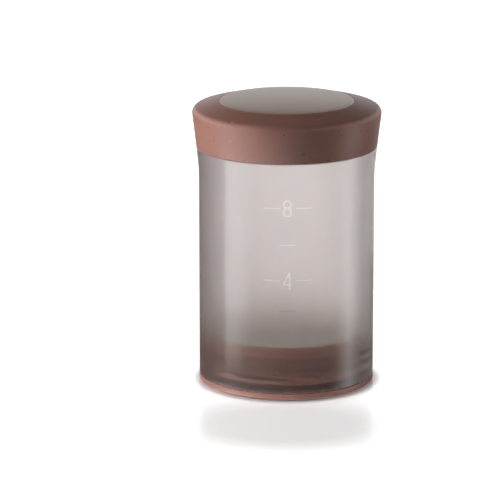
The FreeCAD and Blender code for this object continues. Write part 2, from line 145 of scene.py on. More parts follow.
class ChamberLook(bpy.types.PropertyGroup):
    wall: length("Wall", "Wall of the frosted tube", 1.8)
    neck_wall: length("Neck wall", "Wall of the threaded neck", 1.15)
    seam_height: length("Seam height", "Height of the lid seam", 101.4)
    flare_height: length("Flare height", "Height at which the tube turns outwards", 90.9)
    flare_bend: length("Flare bend", "Radius of that soft bend", 50)
    socket_height: length("Socket height", "Top of the widened lower end", 6.5)
    socket_blend: length("Socket blend", "Height over which the bore widens", 1.2)
    socket_radius: length("Socket radius", "Inner radius of the widened lower end", 35.9)
    edge: length("Edge", "Rounding of the tube's edges", 0.3)
    tint: colour("Tint", "Colour of the frosted outer face", "#d8d3d2")
    inner_tint: colour("Inner tint", "Colour of the frosted inner face", "#fbf9f8")


class MarkLook(bpy.types.PropertyGroup):
    upper_height: length("Upper numeral", "Middle height of the numeral 8", 82.8)
    lower_height: length("Lower numeral", "Middle height of the numeral 4", 52.1)
    upper_dash: length("Upper dash", "Height of the dash between the numerals", 67.2)
    lower_dash: length("Lower dash", "Height of the dash below the numerals", 39.1)
    digit_height: length("Numeral height", "Height of a numeral", 7.3)
    digit_width: length("Numeral width", "Width of a numeral", 3.7)
    stroke: length("Stroke", "Width of a numeral's stroke", 0.62)
    dash_stroke: length("Dash stroke", "Width of a dash", 0.4)
    shift: length("Shift", "Distance of the numerals to the right of the middle", 0.35)
    relief: length("Relief", "How far the moulded marks stand proud", 0.05)
    root: length("Root", "How deep the marks reach into the wall", 0.15)
    clear: colour("Clear mark", "Tint of the polished marks", "#ffffff")
    dark: colour("Dark mark", "Tint of the lowest dash", "#c8b9b6")


class LidLook(bpy.types.PropertyGroup):
    seam_radius: length("Seam radius", "Outer radius of the lid's lower edge", 38.05)
    shoulder_radius: length("Shoulder radius", "Where flank and crown would meet", 39.98)
    shoulder_height: length("Shoulder height", "Where flank and crown would meet", 117.5)
    shoulder_round: length("Shoulder rounding", "Rounding of the shoulder", 2.5)
    bore: length("Bore", "Inner radius of the skirt", 37.05)
    ceiling: length("Ceiling", "Height of the lid's inner face", 117.1)
    disc_gap: length("Disc gap", "Gap round the disc", 0.1)
    disc_dome: length("Disc dome", "Rise of the disc from its rim to its middle", 0.55)
    edge: length("Edge", "Rounding of the lid's edges", 0.25)
    plastic: colour("Mauve", "Colour of the moulded plastic", "#896055")
    disc: colour("Disc", "Colour of the disc", "#92725f")


class BaseLook(bpy.types.PropertyGroup):
    foot_corner: length("Foot corner", "Rounding of the foot ring's lower corner", 1.2)
    foot_height: length("Foot height", "Top of the foot ring", 3.1)
    spigot_radius: length("Spigot", "Outer radius of the bearing spigot", 31.52)
    spigot_wall: length("Spigot wall", "Wall of the bearing spigot", 2.1)
    web: length("Web", "Thickness of the dial's web and of the port plate", 2.2)
    collar_radius: length("Collar", "Inner radius of the drip collar", 14.2)
    collar_wall: length("Collar wall", "Wall of the drip collar", 1.4)
    collar_bottom: length("Collar bottom", "Lower edge of the drip collar", 3.0)
    well_radius: length("Well", "Inner radius of the spring's well", 5.1)
    well_wall: length("Well wall", "Wall of the spring's well", 1.1)
    well_bottom: length("Well bottom", "Lower edge of the spring's well", 4.2)
    boss_radius: length("Boss", "Radius of the bearing boss", 5.0)
    bearing: length("Bearing", "Bore for the pivot", 2.08)
    plug_radius: length("Plug", "Outer radius of the screw plug", 34.5)
    plug_bottom: length("Plug bottom", "Lower end of the screw plug", 6.55)
    groove_radius: length("Groove", "Inner radius of the gasket groove", 33.3)
    flange_top: length("Flange top", "Upper face of the gasket flange", 4.2)
    skirt_radius: length("Skirt", "Bore of the skirt round the spigot", 31.6)
    pocket_radius: length("Pocket", "Radius of the filter's pocket", 33.2)
    ledge_radius: length("Ledge", "Inner radius of the filter's ledge", 30.6)
    ledge_height: length("Ledge height", "Height of the filter's ledge", 19.2)
    seat_radius: length("Seal seat", "Radius of the pivot seal's seat", 4.2)
    seat_depth: length("Seat depth", "Depth of the pivot seal's seat", 0.8)
    port_inner: length("Port inner", "Inner radius of a drain port", 6.6)
    port_outer: length("Port outer", "Outer radius of a drain port", 13.4)
    port_span: angle("Port span", "Angle that a drain port takes up", 46)
    plate_port: angle("Plate port", "Middle of the port plate's first port", 30)
    dial_port: angle("Dial port", "Middle of the dial's first port", 90)
    plate_gap: length("Plate gap", "Room between the dial's face seal and the plate", 0.1)
    stop_inner: length("Stop inner", "Inner radius of the turn stops", 19.5)
    stop_outer: length("Stop outer", "Outer radius of the turn stops", 22.5)
    stop_span: angle("Stop span", "Angle that a turn stop takes up", 10)
    closed_stop: angle("Closed stop", "Middle of the stop that ends the turn closed", -10.5)
    open_stop: angle("Open stop", "Middle of the stop that ends the turn open", 70.5)
    edge: length("Edge", "Rounding of the moulded edges", 0.2)
    ribs: count("Ribs", "Ribs under the dial", 6, 3, 24)
    rib_width: length("Rib", "Thickness of a rib", 1.4)
    silicone: colour("Silicone", "Colour of the seals", "#2c1c18")


class ThreadLook(bpy.types.PropertyGroup):
    lead: length("Lead", "Rise of a thread in one turn", 8)
    starts: count("Starts", "Threads side by side", 2, 1, 4)
    ridge: length("Ridge", "Height of a thread's ridge", 0.4)
    width: length("Width", "Width of a thread's ridge at its foot", 1.6)
    neck_start: length("Neck start", "Height where the lid's threads start", 104.0)
    neck_turns: FloatProperty(
        name="Neck turns", description="Turns of the lid's threads", default=0.85
    )
    plug_start: length("Plug start", "Height where the plug's threads start", 9.0)
    plug_turns: FloatProperty(
        name="Plug turns", description="Turns of the plug's threads", default=1.1
    )


class FilterLook(bpy.types.PropertyGroup):
    # A real filter mesh is finer than half a millimetre; this is as coarse as it needs to show
    pitch: length("Pitch", "Distance between the mesh's holes", 1.8)
    hole: length("Hole", "Radius of a hole", 0.62)
    sides: count("Sides", "Sides of a hole", 10, 6, 24)
    border: length("Border", "Width of the mesh's plain border", 1.6)
    bead: length("Bead", "How far the border stands proud", 0.04)
    plastic: colour("Natural", "Colour of the undyed plastic", "#d8d2c6")
    steel: colour("Steel", "Colour of the steel", "#b9b5ae")


# Mesh work


def rounded(corners):
    """Outline through corners of (radius, height, rounding), with arcs in the rounded ones."""
    points = []
    for index, (radius, height, rounding) in enumerate(corners):
        here = Vector((radius, height))
        back = Vector(corners[index - 1][:2]) - here
        ahead = Vector(corners[(index + 1) % len(corners)][:2]) - here
        if not rounding:
            points.append(here)
            continue
        half = back.angle(ahead) / 2
        reach = min(rounding / math.tan(half), ARC_SHARE * min(back.length, ahead.length))
        bend = reach * math.tan(half)
        start = back.normalized() * reach
        bisector = (back.normalized() + ahead.normalized()).normalized()
        middle = bisector * (bend / math.sin(half))
        spoke = start - middle
        sweep = math.copysign(math.pi - 2 * half, back.cross(ahead) * -1)
        steps = max(2, math.ceil(abs(sweep) / ARC_STEP))
        for step in range(steps + 1):
            turn = Matrix.Rotation(sweep * step / steps, 2)
            points.append(here + middle + turn @ spoke)
    return points


def new_piece(name, mesh):
    piece = bpy.data.objects.new(name, mesh)
    bpy.context.scene.collection.objects.link(piece)
    return piece


def shade_creased(mesh):
    """Smooth shading with a sharp edge at each crease."""
    mesh.shade_smooth()
    mesh.set_sharp_from_angle(angle=CREASE)


def finish_mesh(work, name):
    """Closes, turns outwards and shades a bmesh, and gives it to a new object."""
    bmesh.ops.remove_doubles(work, verts=work.verts, dist=1e-7)
    bmesh.ops.recalc_face_normals(work, faces=work.faces)
    mesh = bpy.data.meshes.new(name)
    work.to_mesh(mesh)
    work.free()
    shade_creased(mesh)
    return new_piece(name, mesh)


def bridge(work, near, far):
    """Faces between two rows of a closed section, with none where it runs along the axis."""
    for index in range(len(near)):
        after = (index + 1) % len(near)
        if near[index].co.xy.length or near[after].co.xy.length:
            work.faces.new((near[index], far[index], far[after], near[after]))


def lathe(name, corners, steps=STEPS):
    """A closed outline turned right round the Z axis."""
    outline = rounded(corners)
    work = bmesh.new()
    rings = []
    for step in range(steps):
        turn = TURN * step / steps
        way = (math.cos(turn), math.sin(turn))
        rings.append([work.verts.new((r * way[0], r * way[1], z)) for r, z in outline])
    for near, far in zip(rings, rings[1:] + rings[:1]):
        bridge(work, near, far)
    return finish_mesh(work, name)


def sector(name, inner, outer, low, high, middle, span, steps=16):
    """An upright block between two radii and two heights, about its middle angle."""
    work = bmesh.new()
    rows = []
    for step in range(steps + 1):
        turn = middle + span * (step / steps - 0.5)
        way = (math.cos(turn), math.sin(turn))
        places = ((inner, low), (outer, low), (outer, high), (inner, high))
        rows.append([work.verts.new((r * way[0], r * way[1], z)) for r, z in places])
    for near, far in zip(rows, rows[1:]):
        bridge(work, near, far)
    work.faces.new(rows[0])
    work.faces.new(rows[-1])
    return finish_mesh(work, name)


def evaluated_mesh(piece):
    """The piece's mesh with its modifiers applied."""
    graph = bpy.context.evaluated_depsgraph_get()
    mesh = bpy.data.meshes.new_from_object(piece.evaluated_get(graph))
    piece.modifiers.clear()
    piece.data = mesh
    return mesh


def carve(piece, tools, operation="DIFFERENCE", overlapping=False):
    """Cuts each tool out of the piece, or adds it, and removes the tool."""
    for tool in tools:
        step = piece.modifiers.new("carve", "BOOLEAN")
        step.operation = operation
        step.solver = "EXACT"
        step.use_self = overlapping
        step.object = tool
    shade_creased(evaluated_mesh(piece))
    for tool in tools:
        bpy.data.objects.remove(tool)


# Node trees


def add_node(tree, kind, settings=None, **links):
    """Adds a node; links take values, outputs, or nodes, whose first output they use."""
    node = tree.nodes.new(kind)
    for setting, value in (settings or {}).items():
        setattr(node, setting, value)
    for name, value in links.items():
        socket = node.inputs[int(name[1:]) if name[1:].isdigit() else name.replace("_", " ")]
        for source in value if isinstance(value, list) else [value]:
            if isinstance(source, bpy.types.Node):
                source = source.outputs[0]
            if isinstance(source, bpy.types.NodeSocket):
                tree.links.new(source, socket)
            else:
                socket.default_value = source
    return node


def new_material(name):
    material = bpy.data.materials.new(name)
    material.use_nodes = True
    material.node_tree.nodes.clear()
    return material, material.node_tree


def end_material(tree, **finish):
    """Ends a material's tree with one surface of the given finish."""
    skin = add_node(tree, "ShaderNodeBsdfPrincipled", **finish)
    add_node(tree, "ShaderNodeOutputMaterial", Surface=skin)


def shade(base, factor):
    return (*(min(1.0, part * factor) for part in base[:3]), 1.0)


def mottle(tree, size_mm, detail=2.0, stretch=(1.0, 1.0, 1.0)):
    """An uneven pattern on the object's own coordinates, with cells about size_mm across."""
    spot = add_node(tree, "ShaderNodeTexCoord").outputs["Object"]
    spot = add_node(tree, "ShaderNodeMapping", Vector=spot, Scale=stretch)
    scale = 1 / (size_mm * MM)
    return add_node(tree, "ShaderNodeTexNoise", Vector=spot, Scale=scale, Detail=detail)


def clouds(tree, base, darkest, palest, **cells):
    """The base colour, drifting between two shades of it in clouds."""
    tone = add_node(tree, "ShaderNodeValToRGB", Fac=mottle(tree, **cells))
    ends = ((CLOUD_START, darkest), (CLOUD_END, palest))
    for element, (position, factor) in zip(tone.color_ramp.elements, ends):
        element.position = position
        element.color = shade(base, factor)
    return tone


def grain(tree, depth_mm, **cells):
    """A moulded or tooled grain, drawn a few times coarser than it is, so that it shows."""
    rough = mottle(tree, **cells)
    return add_node(tree, "ShaderNodeBump", Height=rough, Distance=depth_mm * MM, Strength=1.0)


def specks(tree, colour, speck, spacing_mm, share):
    """Round specks over a colour, in that share of the cells of a grid of about spacing_mm."""
    cells = add_node(
        tree,
        "ShaderNodeTexVoronoi",
        Vector=add_node(tree, "ShaderNodeTexCoord").outputs["Object"],
        Scale=1 / (spacing_mm * MM),
    )
    chosen = add_node(
        tree,
        "ShaderNodeMath",
        {"operation": "LESS_THAN"},
        _0=cells.outputs["Color"],
        _1=share,
    )
    near = add_node(
        tree,
        "ShaderNodeMapRange",
        Value=cells.outputs["Distance"],
        From_Min=SPECK_CORE,
        From_Max=SPECK_RIM,
        To_Min=1.0,
        To_Max=0.0,
    )
    spot = add_node(tree, "ShaderNodeMath", {"operation": "MULTIPLY"}, _0=chosen, _1=near)
    mix = {"data_type": "RGBA"}
    return add_node(tree, "ShaderNodeMix", mix, Factor=spot, _6=colour, _7=speck).outputs[2]


# Materials


def moulded_mauve(base):
    """Moulded polypropylene with mineral fleck: a satin skin with dark and pale specks."""
    material, tree = new_material("moulded_mauve_plastic")
    cloud = clouds(tree, base, size_mm=9.0, darkest=0.94, palest=1.05)
    dark = specks(tree, cloud, shade(base, 0.35), spacing_mm=1.9, share=0.22)
    pale = specks(tree, dark, shade(base, 1.7), spacing_mm=2.6, share=0.12)
    skin = grain(tree, size_mm=0.35, depth_mm=0.006, detail=3.0)
    end_material(tree, Base_Color=pale, Roughness=0.38, IOR=1.5, Normal=skin)
    return material


def satin_disc(base):
    """Satin-moulded ABS: an even, faintly sparkling grain that spreads a soft highlight."""
    material, tree = new_material("satin_taupe_abs")
    cloud = clouds(tree, base, size_mm=0.5, darkest=0.95, palest=1.05, detail=3.0)
    skin = grain(tree, size_mm=0.4, depth_mm=0.004)
    end_material(tree, Base_Color=cloud, Roughness=0.22, IOR=1.53, Normal=skin)
    return material


def frosted_copolyester(base, name, roughness, polish):
    """Frosted copolyester: what touches it shows softly, what is far melts into a glow."""
    material, tree = new_material(name)
    end_material(
        tree,
        Base_Color=clouds(tree, base, size_mm=14.0, darkest=0.98, palest=1.01),
        Roughness=roughness,
        IOR=1.5,
        Specular_IOR_Level=0.0,
        Transmission_Weight=1.0,
        Coat_Weight=polish,
        Coat_Roughness=0.1,
        Coat_IOR=1.5,
        Normal=grain(tree, size_mm=0.5, depth_mm=0.002),
    )
    return material


def polished_mark(base, name):
    """Polished mark in the frost: clearer and paler than the frosted wall round it."""
    material, tree = new_material(name)
    haze = clouds(tree, base, size_mm=0.8, darkest=0.98, palest=1.0)
    end_material(tree, Base_Color=haze, Roughness=0.12, IOR=1.5, Transmission_Weight=1.0)
    return material


def natural_polypropylene(base):
    """Undyed polypropylene: milky, slightly waxy and a little cloudy through its wall."""
    material, tree = new_material("natural_polypropylene")
    cloud = clouds(tree, base, size_mm=6.0, darkest=0.96, palest=1.02)
    skin = grain(tree, size_mm=0.6, depth_mm=0.004)
    end_material(tree, Base_Color=cloud, Roughness=0.38, IOR=1.49, Normal=skin)
    return material


def dark_silicone(base):
    """Moulded silicone: soft and matte, with a powdery fine grain."""
    material, tree = new_material("dark_silicone")
    powder = clouds(tree, base, size_mm=0.7, darkest=0.9, palest=1.12, detail=3.0)
    skin = grain(tree, size_mm=0.3, depth_mm=0.005)
    end_material(tree, Base_Color=powder, Roughness=0.7, IOR=1.41, Normal=skin)
    return material


def turned_steel(base):
    """Stainless steel, turned or blanked: fine circular tool lines blur its reflection."""
    material, tree = new_material("turned_stainless_steel")
    lines = {"size_mm": 0.5, "stretch": (1.0, 1.0, 6.0)}
    tone = clouds(tree, base, darkest=0.93, palest=1.05, **lines)
    skin = grain(tree, depth_mm=0.003, **lines)
    end_material(tree, Base_Color=tone, Metallic=1.0, Roughness=0.3, Normal=skin)
    return material


MATERIALS = {}


def material(name):
    """One of the object's materials, made when it is first asked for."""
    scene = bpy.context.scene
    makers = {
        "mauve": lambda: moulded_mauve(scene.lid_look.plastic),
        "disc": lambda: satin_disc(scene.lid_look.disc),
        "polished": lambda: frosted_copolyester(
            scene.chamber_look.tint,
            "frosted_copolyester_outside",
            roughness=0.4,
            polish=0.8,
        ),
        "etched": lambda: frosted_copolyester(
            scene.chamber_look.inner_tint,
            "frosted_copolyester_inside",
            roughness=0.45,
            polish=0.0,
        ),
        "clear_mark": lambda: polished_mark(scene.mark_look.clear, "clear_polished_mark"),
        "dark_mark": lambda: polished_mark(scene.mark_look.dark, "dark_polished_mark"),
        "natural": lambda: natural_polypropylene(scene.filter_look.plastic),
        "silicone": lambda: dark_silicone(scene.base_look.silicone),
        "steel": lambda: turned_steel(scene.filter_look.steel),
    }
    if name not in MATERIALS:
        MATERIALS[name] = makers[name]()
    return MATERIALS[name]


def dress(piece, *names):
    piece.data.materials.clear()
    for name in names:
        piece.data.materials.append(material(name))


def dress_nodes(name, *nodes):
    """Gives CAD nodes that stay one of the object's materials."""
    for node in nodes:
        dress(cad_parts[node], name)


def place(piece, body, slot, *nodes):
    """Lets a piece ride on its body and stand for its CAD nodes."""
    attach(piece, body)
    if nodes:
        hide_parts(*nodes)


# Geometry Nodes


def node_group(name, **inputs):
    """A geometry tree with inputs of the given kinds, and what its input node gives."""
    tree = bpy.data.node_groups.new(name, "GeometryNodeTree")
    for title, kind in inputs.items():
        tree.interface.new_socket(title, in_out="INPUT", socket_type="NodeSocket" + kind)
    tree.interface.new_socket("Geometry", in_out="OUTPUT", socket_type="NodeSocketGeometry")
    return tree, tree.nodes.new("NodeGroupInput").outputs


def end_tree(tree, geometry, finish):
    real = add_node(tree, "GeometryNodeRealizeInstances", Geometry=geometry)
    dressed = add_node(tree, "GeometryNodeSetMaterial", Geometry=real, Material=finish)
    add_node(tree, "NodeGroupOutput", Geometry=dressed)


def grown(name, tree, **values):
    """A plain mesh object made by a geometry tree with the given input values."""
    piece = new_piece(name, bpy.data.meshes.new(name))
    step = piece.modifiers.new("grow", "NODES")
    identifiers = {item.name: item.identifier for item in tree.interface.items_tree}
    step.node_group = tree
    for title, value in values.items():
        step[identifiers[title]] = value
    shade_creased(evaluated_mesh(piece))
    return piece


def turned_copies(tree, shape, number, apart, phase=0.0, start=(0, 0, 0)):
    """Copies of a shape, each turned on round the Z axis by the same angle."""
    spots = add_node(
        tree, "GeometryNodeMeshLine", Count=number, Start_Location=start, Offset=(0, 0, 0)
    )
    turn = add_node(
        tree,
        "ShaderNodeMath",
        {"operation": "MULTIPLY_ADD"},
        _0=add_node(tree, "GeometryNodeInputIndex"),
        _1=apart,
        _2=phase,
    )
    return add_node(
        tree,
        "GeometryNodeInstanceOnPoints",
        Points=spots,
        Instance=shape,
        Rotation=add_node(tree, "ShaderNodeCombineXYZ", Z=turn),
    )


def thread_tree():
    """Screw threads: starts of one helix, tapered at both ends."""
    tree, given = node_group(
        "screw_thread",
        Radius="Float",
        Start="Vector",
        Rise="Float",
        Turns="Float",
        Starts="Int",
        Apart="Float",
        Phase="Float",
        Height="Float",
        Foot="Float",
        Crest="Float",
        Material="Material",
    )
    helix = add_node(
        tree,
        "GeometryNodeCurveSpiral",
        Resolution=HELIX_STEPS,
        Rotations=given["Turns"],
        Start_Radius=given["Radius"],
        End_Radius=given["Radius"],
        Height=given["Rise"],
    )
    upright = add_node(tree, "GeometryNodeSetCurveNormal", {"mode": "Z_UP"}, Curve=helix)
    along = add_node(tree, "GeometryNodeSplineParameter")
    from_end = add_node(tree, "ShaderNodeMath", {"operation": "PINGPONG"}, _0=along, _1=0.5)
    taper = add_node(
        tree,
        "ShaderNodeMapRange",
        Value=from_end,
        From_Max=TAPER_SHARE,
        To_Min=TAPER_END,
        To_Max=1.0,
    )
    tapered = add_node(tree, "GeometryNodeSetCurveRadius", Curve=upright, Radius=taper)
    section = add_node(
        tree,
        "GeometryNodeCurvePrimitiveQuadrilateral",
        {"mode": "TRAPEZOID"},
        Height=given["Height"],
        Bottom_Width=given["Foot"],
        Top_Width=given["Crest"],
        Offset=0.0,
    )
    ridge = add_node(
        tree, "GeometryNodeCurveToMesh", Curve=tapered, Profile_Curve=section, Fill_Caps=True
    )
    ridges = turned_copies(
        tree, ridge, given["Starts"], given["Apart"], given["Phase"], given["Start"]
    )
    end_tree(tree, ridges, given["Material"])
    return tree


def bars_tree():
    """Straight bars, evenly spaced round the Z axis."""
    tree, given = node_group(
        "radial_bars",
        Count="Int",
        Apart="Float",
        Size="Vector",
        Middle="Vector",
        Material="Material",
    )
    block = add_node(tree, "GeometryNodeMeshCube", Size=given["Size"])
    bar = add_node(tree, "GeometryNodeTransform", Geometry=block, Translation=given["Middle"])
    bars = turned_copies(tree, bar, given["Count"], given["Apart"])
    end_tree(tree, bars, given["Material"])
    return tree


def perforated_tree():
    """A round sheet with round holes on a triangular grid and a plain border."""
    tree, given = node_group(
        "perforated_sheet",
        Cell="Float",
        Hole="Float",
        Sides="Int",
        Width="Float",
        Depth="Float",
        Columns="Int",
        Rows="Int",
        Row="Float",
        Inside="Float",
        Band="Float",
        Thickness="Float",
        Rim="Float",
        Bottom="Vector",
        Middle="Vector",
        Weld="Float",
        Material="Material",
    )
    circle = ("GeometryNodeCurvePrimitiveCircle", {"mode": "RADIUS"})
    hexagon = add_node(tree, *circle, Resolution=6, Radius=given["Cell"])
    turned = add_node(
        tree, "GeometryNodeTransform", Geometry=hexagon, Rotation=(0, 0, TURN / 12)
    )
    hole = add_node(tree, *circle, Resolution=given["Sides"], Radius=given["Hole"])
    both = add_node(tree, "GeometryNodeJoinGeometry", Geometry=[turned, hole])
    cell = add_node(tree, "GeometryNodeFillCurve", Curve=both)

    grid = add_node(
        tree,
        "GeometryNodeMeshGrid",
        Size_X=given["Width"],
        Size_Y=given["Depth"],
        Vertices_X=given["Columns"],
        Vertices_Y=given["Rows"],
    )
    spot = add_node(tree, "GeometryNodeInputPosition")
    across = add_node(tree, "ShaderNodeSeparateXYZ", Vector=spot).outputs["Y"]
    # The wave is 0 on even rows and a row's height on odd ones: over root three, half a pitch
    wave = add_node(
        tree, "ShaderNodeMath", {"operation": "PINGPONG"}, _0=across, _1=given["Row"]
    )
    shift = add_node(
        tree, "ShaderNodeMath", {"operation": "MULTIPLY"}, _0=wave, _1=1 / ROOT_THREE
    )
    staggered = add_node(
        tree,
        "GeometryNodeSetPosition",
        Geometry=grid,
        Offset=add_node(tree, "ShaderNodeCombineXYZ", X=shift),
    )
    reach = add_node(tree, "ShaderNodeVectorMath", {"operation": "LENGTH"}, _0=spot)
    outer = add_node(
        tree,
        "ShaderNodeMath",
        {"operation": "GREATER_THAN"},
        _0=reach.outputs["Value"],
        _1=given["Inside"],
    )
    kept = add_node(
        tree,
        "GeometryNodeDeleteGeometry",
        {"domain": "POINT"},
        Geometry=staggered,
        Selection=outer,
    )
    cells = add_node(tree, "GeometryNodeInstanceOnPoints", Points=kept, Instance=cell)
    real = add_node(tree, "GeometryNodeRealizeInstances", Geometry=cells)
    flat = add_node(tree, "GeometryNodeMergeByDistance", Geometry=real, Distance=given["Weld"])
    raised = add_node(
        tree,
        "GeometryNodeExtrudeMesh",
        {"mode": "FACES"},
        Mesh=flat,
        Offset_Scale=given["Thickness"],
        Individual=False,
    )
    under = add_node(tree, "GeometryNodeFlipFaces", Mesh=flat)
    sheet = add_node(tree, "GeometryNodeJoinGeometry", Geometry=[raised, under])
    closed = add_node(
        tree, "GeometryNodeMergeByDistance", Geometry=sheet, Distance=given["Weld"]
    )
    lifted = add_node(
        tree, "GeometryNodeTransform", Geometry=closed, Translation=given["Bottom"]
    )

    rim = add_node(
        tree,
        "GeometryNodeCurveToMesh",
        Curve=add_node(tree, *circle, Resolution=RIM_STEPS, Radius=given["Inside"]),
        Profile_Curve=add_node(
            tree,
            "GeometryNodeCurvePrimitiveQuadrilateral",
            {"mode": "RECTANGLE"},
            Width=given["Band"],
            Height=given["Rim"],
        ),
    )
    placed = add_node(tree, "GeometryNodeTransform", Geometry=rim, Translation=given["Middle"])
    whole = add_node(tree, "GeometryNodeJoinGeometry", Geometry=[lifted, placed])
    end_tree(tree, whole, given["Material"])
    return tree


# Pieces


class CoffeeOperator(bpy.types.Operator):
    """Base of the operators that build the pieces"""

    bl_options = {"REGISTER", "UNDO"}


def add_strokes(work, paths, width, inner, outer):
    """Flat strokes along paths of (across, height) points, wrapped round a cylinder."""
    for path, closed in paths:
        rows = []
        total = len(path)
        for index, point in enumerate(path):
            before = path[index - 1] if closed or index else point
            after = path[(index + 1) % total] if closed or index < total - 1 else point
            way = (Vector(after) - Vector(before)).normalized()
            side = Vector((-way.y, way.x)) * width / 2
            row = []
            for sign, reach in ((1, inner), (-1, inner), (-1, outer), (1, outer)):
                spot = Vector(point) + side * sign
                turn = spot.x / outer
                place_at = (reach * math.sin(turn), -reach * math.cos(turn), spot.y)
                row.append(work.verts.new(place_at))
            rows.append(row)
        for near, far in zip(rows, rows[1:]):
            bridge(work, near, far)
        if closed:
            bridge(work, rows[-1], rows[0])
        else:
            work.faces.new(rows[0])
            work.faces.new(rows[-1])


def arc(centre, across, up, start, end, steps=10):
    """Points on an ellipse between two angles in degrees."""
    points = []
    for step in range(steps + 1):
        turn = math.radians(start + (end - start) * step / steps)
        points.append((centre[0] + across * math.cos(turn), centre[1] + up * math.sin(turn)))
    return points


def numeral_eight(width, height, stroke, level):
    """Two narrow rounded loops that touch, the lower one a little taller."""
    half = (width - stroke) / 2
    top = level + (height - stroke) / 2
    bottom = level - (height - stroke) / 2
    waist = level + height * EIGHT_WAIST
    loops = []
    for low, high in ((waist, top), (bottom, waist)):
        bend = half * EIGHT_BEND
        ring = arc((0, high - bend), half, bend, 0, 180)
        ring += arc((0, low + bend), half, bend, 180, 360)
        loops.append((ring, True))
    return loops


def run(start, end, steps=8):
    """Points along a straight stroke, close enough to follow the tube's curve."""
    first, last = Vector(start), Vector(end)
    return ([tuple(first.lerp(last, step / steps)) for step in range(steps + 1)], False)


def numeral_four(width, height, stroke, level):
    """A long slant down to the crossbar, and an upright through it."""
    left = -(width - stroke) / 2
    stem = width * FOUR_STEM
    top = level + (height - stroke * FOUR_END) / 2
    bottom = level - height * FOUR_FOOT
    bar = level - height * FOUR_BAR
    return [
        run((stem, top), (left, bar)),
        run((left, bar), (width / 2 + stroke * FOUR_END, bar)),
        run((stem, bottom), (stem, top)),
    ]


def dash(radius, reach, level, steps=12):
    """A level stroke between two angles from the front, in degrees."""
    start, end = (radius * math.radians(turn) for turn in reach)
    return run((start, level), (end, level), steps)


def mark_tool(look, radius):
    """The numerals and dashes as one solid that reaches from the wall to its relief."""
    size = (look.digit_width, look.digit_height, look.stroke)
    digits = []
    levels = (look.upper_height, look.lower_height)
    for numeral, level in zip((numeral_eight, numeral_four), levels):
        for path, closed in numeral(*size, level):
            digits.append(([(across + look.shift, up) for across, up in path], closed))
    lines = [dash(radius, LONE_DASH, level) for level in (look.upper_dash, look.lower_dash)]
    for level in levels:
        lines += [dash(radius, reach, level) for reach in (LEFT_DASH, RIGHT_DASH)]
    work = bmesh.new()
    for paths, width in ((digits, look.stroke), (lines, look.dash_stroke)):
        add_strokes(work, paths, width, radius - look.root, radius + look.relief)
    return finish_mesh(work, "marks")


class COFFEE_OT_chamber(CoffeeOperator):
    """Build the frosted chamber with its moulded graduation marks"""

    bl_idname = "coffee.chamber"
    bl_label = "Chamber"

    def execute(self, context):
        look = context.scene.chamber_look
        marks = context.scene.mark_look
        radius = FOOT[1].x
        bore = radius - look.wall
        neck = bore + look.neck_wall
        edge = look.edge
        shell = lathe(
            "chamber_shell",
            [
                (bore, look.socket_height + look.socket_blend, edge * 4),
                (look.socket_radius, look.socket_height, edge * 4),
                (look.socket_radius, CHAMBER[0].z, edge),
                (radius, CHAMBER[0].z, edge),
                (radius, look.flare_height, look.flare_bend),
                (CHAMBER[1].x, look.seam_height, edge),
                (neck, look.seam_height, edge),
                (neck, CHAMBER[1].z, edge),
                (bore, CHAMBER[1].z, edge),
            ],
        )
        carve(shell, [mark_tool(marks, radius)], "UNION", overlapping=True)
        dress(shell, "polished", "etched", "clear_mark", "dark_mark")
        # A face is a mark's where it stands out, and inside where it is nearer than mid-wall
        middle = bore + look.wall * 0.5
        raised = radius + marks.relief * 0.9
        lowest = marks.lower_dash + marks.stroke
        for face in shell.data.polygons:
            away = face.center.xy.length
            if away > raised and face.center.z < look.flare_height - look.wall:
                face.material_index = 3 if face.center.z < lowest else 2
            else:
                face.material_index = int(away < middle)
        place(shell, "chamber", "frosted_plastic", "brew_chamber")
        return {"FINISHED"}


class COFFEE_OT_lid(CoffeeOperator):
    """Build the lid's cap and disc"""

    bl_idname = "coffee.lid"
    bl_label = "Lid"

    def execute(self, context):
        look = context.scene.lid_look
        recess = DISC[1].x + look.disc_gap
        crown = LID[1].z
        edge = look.edge
        cap = lathe(
            "lid_cap",
            [
                (look.bore, LID[0].z, edge),
                (look.seam_radius, LID[0].z, edge),
                (look.shoulder_radius, look.shoulder_height, look.shoulder_round),
                (recess, crown - look.disc_dome, edge * 0.5),
                (recess, DISC[0].z, 0),
                (0, DISC[0].z, 0),
                (0, look.ceiling, 0),
                (look.bore, look.ceiling, edge * 2),
            ],
        )
        dress(cap, "mauve")
        place(cap, "lid", "mauve_plastic", "lid_shell")
        outline = [(0, DISC[0].z, 0), (DISC[1].x, DISC[0].z, 0)]
        for share in DOME_SHARES:
            drop = look.disc_dome * share**2
            outline.append((DISC[1].x * share, DISC[1].z - drop, edge if share == 1 else 0))
        disc = lathe("lid_inset_disc", outline)
        dress(disc, "disc")
        place(disc, "lid", "taupe_plastic", "lid_disc")
        dress_nodes("natural", "lid_liner")
        dress_nodes("silicone", "lid_gasket", "vent_valve")
        return {"FINISHED"}


def port_tools(look, low, high, first):
    """Cutters for the three drain ports of a plate between two heights."""
    block = (look.port_inner, look.port_outer, low - MM, high + MM)
    return [
        sector("port", *block, turn, look.port_span)
        for turn in (first, first + TURN / 3, first + TURN * 2 / 3)
    ]


def stop_tool(look, low, high, middle):
    return sector("stop", look.stop_inner, look.stop_outer, low, high, middle, look.stop_span)


